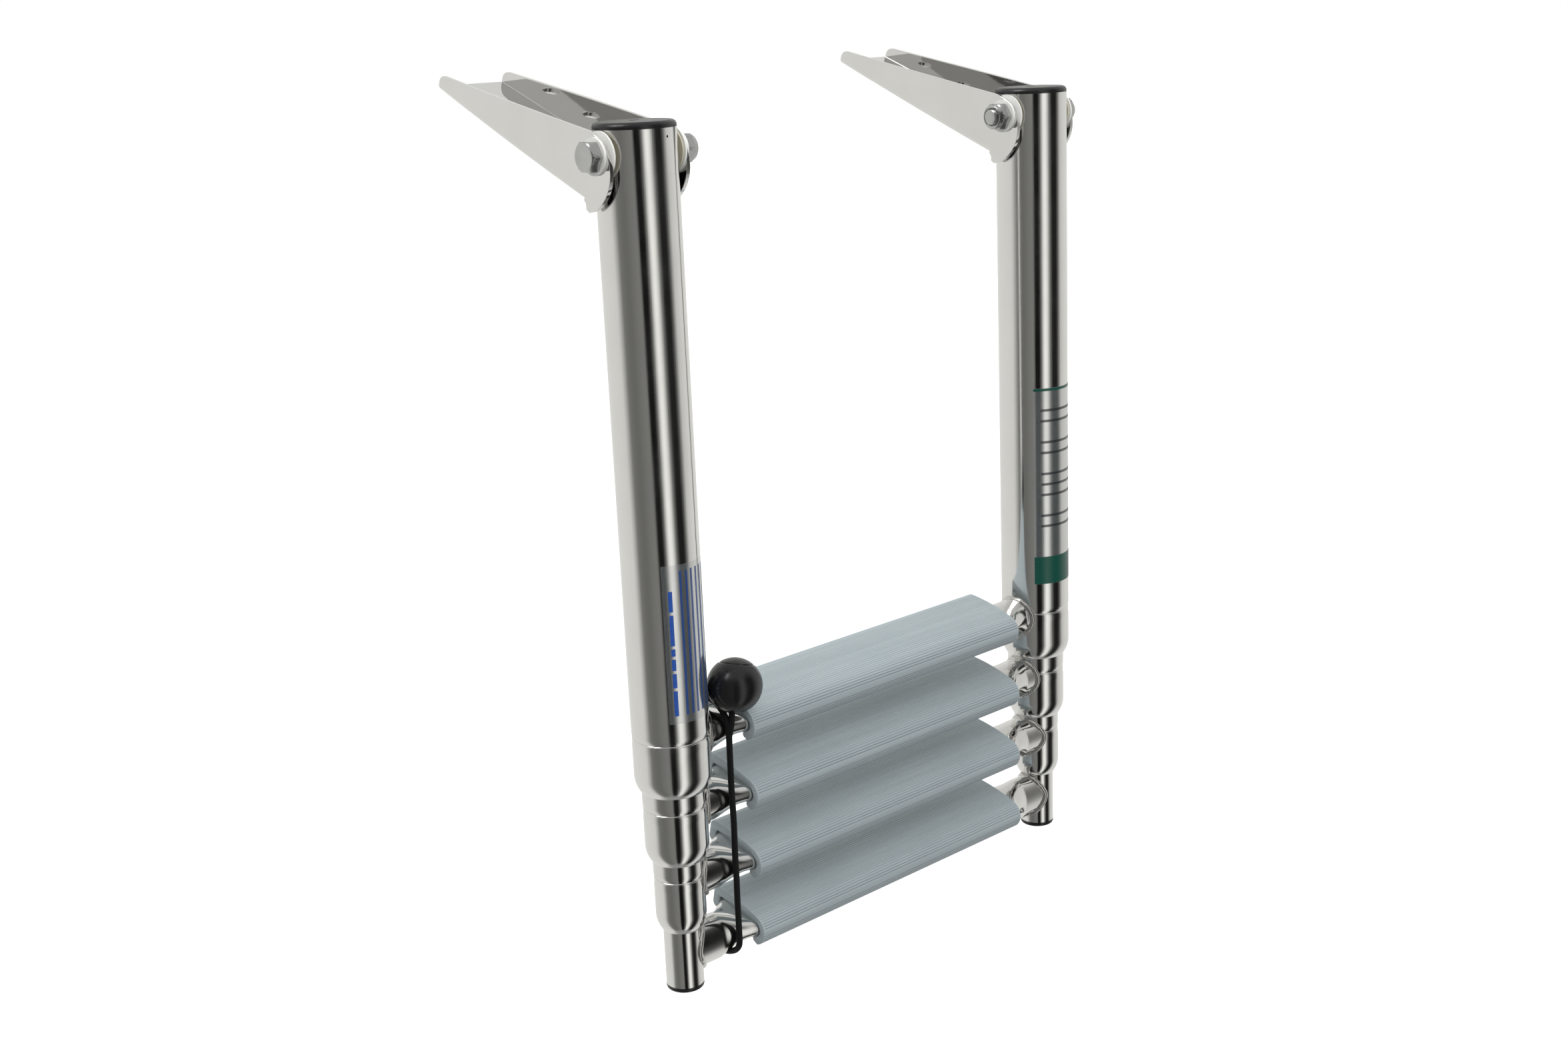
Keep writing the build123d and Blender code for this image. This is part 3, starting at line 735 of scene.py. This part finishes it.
def make_cord():
    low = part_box("bungee_cord")[0]
    x = low[0] + CORD_INSET
    reach = hinge.y - (low[1] + CORD_RADIUS)
    front, back = hinge.y - reach, hinge.y + reach
    upper = hinge.z + (seam_height(1) + ROUND_END[2]) * MM
    lower = low[2] + CORD_RADIUS + reach
    dip = lower - (hinge.z + seam_height(4) * MM - CORD_SAG)
    straight = [i / STRAIGHT_STEPS for i in range(STRAIGHT_STEPS + 1)]
    bend = [math.pi * i / BEND_STEPS for i in range(1, BEND_STEPS)]
    loop = [Vector((x, front, mix(upper, lower, t))) for t in straight]
    loop += [Vector((x, hinge.y - reach * math.cos(a), lower - dip * math.sin(a))) for a in bend]
    loop += [Vector((x, back, mix(lower, upper, t))) for t in straight]
    loop += [Vector((x, hinge.y + reach * math.cos(a), upper + reach * math.sin(a))) for a in bend]
    for i, p in enumerate(loop):
        p.x += CORD_WANDER * noise.noise(Vector((i * CORD_WANDER_PACE, 0.3, 0.7)))
    add_sheath("cord_loop", loop, CORD_RADIUS, True, ("bungee_cord",))

    ball, ball_radius = centre("bungee_ball"), half_width("bungee_ball")
    start = Vector((x, front, upper - TAIL_START))
    end = ball + (start - ball).normalized() * (ball_radius - TAIL_DEPTH)
    tail = [start.lerp(end, i / TAIL_STEPS) for i in range(TAIL_STEPS + 1)]
    for i, p in enumerate(tail):
        p.y -= TAIL_BEND * math.sin(math.pi * i / TAIL_STEPS)
    add_sheath("cord_tail", tail, CORD_RADIUS * TAIL_SWELL, False)


def add_sheath(name, points, radius, closed, replaced=()):
    """Tube with the diamond relief of a braided sheath."""
    dense = []
    for a, b in zip(points, points[1:] + (points[:1] if closed else [])):
        cuts = max(1, round((b - a).length / BRAID_STEP))
        dense += [a.lerp(b, k / cuts) for k in range(cuts)]
    if not closed:
        dense.append(points[-1])
    rings, run, count = [], 0.0, len(dense)
    side = Vector((1, 0, 0))
    for i, p in enumerate(dense):
        ahead = dense[(i + 1) % count] if closed or i + 1 < count else p
        behind = dense[i - 1] if closed or i else p
        tangent = (ahead - behind).normalized()
        side = (side - tangent * side.dot(tangent)).normalized()
        up = tangent.cross(side)
        run += (p - behind).length if i else 0.0
        ring = []
        for a in full_turn(BRAID_POINTS):
            turn, slope = BRAID_STRANDS * a, run * BRAID_SLOPE
            strands = math.cos(turn + slope) * math.cos(turn - slope)
            r = radius * (1 - BRAID_RELIEF + BRAID_RELIEF * strands)
            ring.append(p + (side * math.cos(a) + up * math.sin(a)) * r)
        rings.append(ring)
    add_object(name, *skin(rings, closed_path=closed), cord_black, "section_1",
               "cord_sheath", replaced)


make_ball()
make_cord()


# ---------------------------------------------------------------------------
# Labels: clear film with plain printed bars in place of any wording. Angles are degrees round
# the outer tube from +X, heights are from the fold axis.
FILM_THICKNESS = 0.04
FILM_LIFT, PRINT_LIFT = 0.02, 0.07
FILM_STEP_DEGREES = 3
LEFT_SPAN, LEFT_LOW, LEFT_HIGH = (-129, -30), -266.0, -188.0
RIGHT_SPAN, RIGHT_LOW, RIGHT_HIGH = (-140, -41), -260.0, -147.5
# A column of dashes at the left edge of the left film, from the bottom up.
DASH_SPAN, DASH_START, DASH_GAP = (-120.6, -114.6), -262.0, 1.6
DASH_LENGTHS = (12.5, 7.0, 5.5, 3.5, 15.0, 10.0)
BAR_ANGLES, BAR_HALF_ANGLE = (-101.0, -91.0, -81.5, -71.0, -60.0, -48.0), 1.8
BAR_LOW, BAR_HIGH = -262.0, -191.0
# Lines across the right film.
LINE_SPAN, LINE_HALF_HEIGHT = (-128.0, -50.0), 0.7
LINE_HEIGHTS = (-160.0, -166.0, -178.0, -184.0, -196.0, -202.0, -208.0, -220.0, -226.0)
# The right film's green parts: the band at its foot and the line at its top.
GREEN_PARTS = {"band": (-259.8, -244.0), "line": (-149.2, -147.8)}


def film_patch(name, span, low, high, lift, material, replaced=()):
    """A strip of film on the outer tube of the side that its name gives."""
    side = SIDES[name.split("_")[1]]
    start, end = span
    steps = max(4, round(abs(end - start) / FILM_STEP_DEGREES))
    inner = tube_radius(1) + lift
    outline = []
    for r, sweep in ((inner + FILM_THICKNESS, range(steps + 1)), (inner, range(steps, -1, -1))):
        for i in sweep:
            a = math.radians(mix(start, end, i / steps))
            outline.append((side * tube_x + r * math.cos(a), r * math.sin(a)))
    rings = [[at(x, y, z) for x, y in outline] for z in (low, high)]
    add_object(name, *skin(rings), material, "section_1", "label_film", replaced, crisp=30)


film_patch("film_left", LEFT_SPAN, LEFT_LOW, LEFT_HIGH, FILM_LIFT, film_clear, ("label_left",))
film_patch("film_right", RIGHT_SPAN, RIGHT_LOW, RIGHT_HIGH, FILM_LIFT, film_clear,
           ("label_right",))
dash_low = DASH_START
for index, length in enumerate(DASH_LENGTHS):
    film_patch(f"film_left_dash_{index}", DASH_SPAN, dash_low, dash_low + length, PRINT_LIFT,
               print_blue)
    dash_low += length + DASH_GAP
for index, angle in enumerate(BAR_ANGLES):
    film_patch(f"film_left_bar_{index}", (angle - BAR_HALF_ANGLE, angle + BAR_HALF_ANGLE),
               BAR_LOW, BAR_HIGH, PRINT_LIFT, print_faint)
for index, height in enumerate(LINE_HEIGHTS):
    film_patch(f"film_right_bar_{index}", LINE_SPAN, height - LINE_HALF_HEIGHT,
               height + LINE_HALF_HEIGHT, PRINT_LIFT, print_grey)
for part, (low, high) in GREEN_PARTS.items():
    film_patch(f"film_right_{part}", RIGHT_SPAN, low, high, PRINT_LIFT, print_green)


# ---------------------------------------------------------------------------
# Hinge fasteners: chamfered hexagons, the thread's end, and the locking nut's dome. A profile
# step is (distance along the axis, distance across flats or None for round, largest radius).
HEX = 13.0
CORNER = HEX / 2 / math.cos(math.pi / 6)
FASTENER_POINTS = 96
BOLT_HEAD = (
    (0.0, None, 6.0), (0.0, HEX, CORNER - 0.1), (0.25, HEX, CORNER), (4.1, HEX, CORNER),
    (4.6, HEX, 7.0), (4.95, HEX, 6.75), (5.2, None, 6.35), (5.3, None, 6.1),
    (5.3, None, 5.0), (5.2, None, 4.7), (5.2, None, 0.4),
)
LOCK_NUT = (
    (0.0, None, 4.05), (0.0, None, 6.2), (0.35, HEX, CORNER - 0.35), (0.8, HEX, CORNER),
    (5.0, HEX, CORNER), (5.6, HEX, 7.05), (6.0, None, 6.45), (6.6, None, 6.3),
    (7.4, None, 6.15), (7.85, None, 5.75), (8.0, None, 5.3), (7.8, None, 4.75),
    (7.3, None, 4.4), (6.8, None, 4.05),
)
THREAD_PITCH, THREAD_TOP, THREAD_ROOT, THREAD_START = 0.625, 3.97, 3.66, 6.0
SHANK = (
    (-48.0, None, 4.0),
    *((THREAD_START + i * THREAD_PITCH / 2, None, THREAD_TOP if i % 2 else THREAD_ROOT)
      for i in range(10)),
    (9.2, None, 3.5), (9.3, None, 3.1), (9.3, None, 0.4),
)


def hex_radius(angle, flats):
    """Distance to a hexagon's edge at this angle, for the given distance across flats."""
    a = (angle + math.pi / 6) % (math.pi / 3) - math.pi / 6
    return (flats / 2) / math.cos(a)


def lathe_hex(name, start, direction, profile, replaced=()):
    """Turns a profile about the fold axis, from a place on it and in a direction along it."""
    rings = []
    for along, flats, limit in profile:
        ring = []
        for a in full_turn(FASTENER_POINTS):
            r = limit if flats is None else min(hex_radius(a, flats), limit)
            ring.append(at(start + direction * along, r * math.sin(a), r * math.cos(a)))
        rings.append(ring)
    verts, faces = skin(rings)
    if direction > 0:
        faces = reversed_faces(faces)
    add_object(name, verts, faces, steel_fastener, "brackets", "fastener_steel", replaced,
               crisp=25)


# Heads sit outside their tube and nuts inside, on the outer washers.
washer_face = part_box("hinge_outer_washers")[1][0] / MM - tube_x
for name, side in SIDES.items():
    outside, inside = side * (tube_x + washer_face), side * (tube_x - washer_face)
    lathe_hex(f"bolt_head_{name}", outside, side, BOLT_HEAD, ("hinge_bolts",))
    lathe_hex(f"lock_nut_{name}", inside, -side, LOCK_NUT, ("hinge_nuts",))
    lathe_hex(f"bolt_shank_{name}", inside, -side, SHANK)


# ---------------------------------------------------------------------------
# CAD pieces that keep their shape get their finish here
FINISHES = {
    steel_tube: [f"tube_{number}_{side}" for number in SECTIONS for side in SIDES]
    + [f"collar_{number}_{side}" for number in COLLARED for side in SIDES],
    steel_sheet: ["left_bracket", "right_bracket"],
    nylon_white: ["hinge_outer_washers", "hinge_inner_washers"],
    nylon_natural: ["hinge_bushes"],
    nylon_dark: [f"guide_bushings_{number}" for number in COLLARED]
    + [f"slide_rings_{number}" for number in SLIDING],
    cap_black: ["top_cap_left", "top_cap_right", "bottom_caps"],
}
for finish, names in FINISHES.items():
    for node in names:
        for held in nodes[node].material_slots:
            held.material = finish


# ---------------------------------------------------------------------------
# Studio: pale floor, soft light, and the room that the steel mirrors
FLOOR_HALF = 30.0
FLOOR_DROP = 1.45
ROOM = (
    # (degrees round from +X, brightness): what a vertical tube mirrors
    (-180.0, 0.16), (-168.0, 0.15), (-150.0, 0.19), (-138.0, 0.21), (-134.5, 0.14),
    (-131.5, 0.006), (-118.0, 0.008), (-111.0, 0.16), (-105.0, 0.66), (-99.0, 1.0),
    (-91.0, 0.86), (-80.0, 0.17), (-71.0, 0.015), (-55.0, 0.012), (-48.0, 0.09),
    (-42.0, 0.28), (-34.0, 0.60), (-12.0, 0.72), (60.0, 0.78), (130.0, 0.74),
    (150.0, 0.70), (160.0, 0.46), (169.0, 0.20), (180.0, 0.16),
)
ROOM_GREEN, ROOM_BLUE = 0.997, 0.965
# Dark bands are a little warmer than bright ones.
DARK_BELOW, DARK_BLUE = 0.5, 0.99
# Ground and ceiling, and the heights (sine of the elevation) over which they take over.
GROUND_COLOUR, GROUND_EDGE = (0.30, 0.30, 0.29), (-0.995, -0.90)
CEILING_COLOUR, CEILING_EDGE = (0.62, 0.62, 0.61), (0.45, 0.85)
# The one lamp that the steel and the ball mirror: its direction, edge (cosine) and strength.
LAMP, LAMP_EDGE, LAMP_STRENGTH = (-0.62, 0.165, 0.77), (0.955, 0.985), 12.0
# Light on matt surfaces, from below to above.
SOFT_STRENGTH, SOFT_EDGE = (0.45, 1.12), (-0.3, 0.5)
WHITE = (1.0, 1.0, 1.0, 1.0)


def make_floor():
    side, drop = FLOOR_HALF, hinge.z - FLOOR_DROP
    corners = [(-side, -side, drop), (side, -side, drop), (side, side, drop), (-side, side, drop)]
    mesh = bpy.data.meshes.new("floor")
    mesh.from_pydata(corners, [], [(0, 1, 2, 3)])
    mesh.materials.append(paper_white("floor_white"))
    made = bpy.data.objects.new("floor", mesh)
    scene.collection.objects.link(made)
    made.visible_glossy = False
    made.visible_diffuse = False


def room_bands(world, x, y):
    """The colours of ROOM, by the angle round from +X."""
    turn = world.remap(world.math("ARCTAN2", y, x), 0.0, 1.0, -math.pi, math.pi)
    ramp = world.node("ShaderNodeValToRGB", Fac=turn)
    elements = ramp.color_ramp.elements
    elements[0].position, elements[1].position = 0.0, 1.0
    while len(elements) < len(ROOM):
        elements.new(0.5)
    for element, (degrees, value) in zip(elements, ROOM):
        blue = ROOM_BLUE if value > DARK_BELOW else ROOM_BLUE * DARK_BLUE
        element.position = (degrees + 180.0) / 360.0
        element.color = (value, value * ROOM_GREEN, value * blue, 1.0)
    return ramp.outputs["Color"]


def make_room():
    """White for the camera, soft white for matt surfaces, and the banded room for mirrors."""
    scene.world = bpy.data.worlds.new("studio")
    scene.world.use_nodes = True
    world = Nodes(scene.world.node_tree)
    world.tree.nodes.clear()
    where = world.node("ShaderNodeTexCoord").outputs["Generated"]
    x, y, z = world.node("ShaderNodeSeparateXYZ", Vector=where).outputs

    over_ground = world.remap(z, 0.0, 1.0, *GROUND_EDGE, smooth=True)
    ceiling = world.remap(z, 0.0, 1.0, *CEILING_EDGE, smooth=True)
    room = world.blend(over_ground, GROUND_COLOUR, room_bands(world, x, y))
    room = world.blend(ceiling, room, CEILING_COLOUR)
    toward = world.node("ShaderNodeVectorMath")
    toward.operation = "DOT_PRODUCT"
    world.feed(toward, 0, where)
    world.feed(toward, 1, LAMP)
    lamp = world.remap(toward.outputs["Value"], 1.0, LAMP_STRENGTH, *LAMP_EDGE, smooth=True)
    mirrored = world.node("ShaderNodeBackground", Color=room, Strength=lamp)

    sky = world.remap(z, *SOFT_STRENGTH, *SOFT_EDGE, smooth=True)
    soft = world.node("ShaderNodeBackground", Color=WHITE, Strength=sky)
    seen = world.node("ShaderNodeBackground", Color=WHITE, Strength=1.0)
    rays = world.node("ShaderNodeLightPath").outputs
    lights = world.choose(rays["Is Glossy Ray"], soft.outputs[0], mirrored.outputs[0])
    surface = world.choose(rays["Is Camera Ray"], lights, seen.outputs[0])
    world.node("ShaderNodeOutputWorld", Surface=surface)


def add_softbox(name, spot, target, side, power):
    data = bpy.data.lights.new(name, "AREA")
    data.shape = "RECTANGLE"
    data.size = data.size_y = side
    data.energy = power
    made = bpy.data.objects.new(name, data)
    made.location = spot
    made.rotation_mode = "QUATERNION"
    made.rotation_quaternion = (target - spot).to_track_quat("-Z", "Y")
    made.visible_glossy = False
    scene.collection.objects.link(made)


scene.view_settings.view_transform = "Standard"
make_floor()
make_room()
aim = hinge + Vector((0, 0, -0.2))
add_softbox("key", aim + Vector((-0.6, -1.6, 1.5)), aim, side=1.4, power=14.0)
add_softbox("top", aim + Vector((0.2, 0.3, 2.2)), aim, side=2.2, power=16.0)


# ---------------------------------------------------------------------------
# Camera at the product view's height, turn and tilt. Its place is from the fold axis.
CAMERA_PLACE = (-678.58, -689.21, 57.17)
YAW, PITCH, ROLL = (math.radians(degrees) for degrees in (42.084, -14.811, -2.4496))
SENSOR_WIDTH, FOCAL_LENGTH = 36.0, 44.12


def make_camera():
    data = bpy.data.cameras.new("view")
    made = bpy.data.objects.new("view", data)
    scene.collection.objects.link(made)
    forward = Vector((math.sin(YAW) * math.cos(PITCH), math.cos(YAW) * math.cos(PITCH),
                      math.sin(PITCH)))
    level = Vector((math.cos(YAW), -math.sin(YAW), 0.0))
    upright = level.cross(forward)
    right = level * math.cos(ROLL) + upright * math.sin(ROLL)
    up = upright * math.cos(ROLL) - level * math.sin(ROLL)
    place = Matrix((right, up, -forward)).transposed().to_4x4()
    place.translation = at(*CAMERA_PLACE)
    made.matrix_world = place
    data.sensor_width, data.lens = SENSOR_WIDTH, FOCAL_LENGTH
    data.clip_start, data.clip_end = 0.01, 100.0
    scene.camera = made


make_camera()
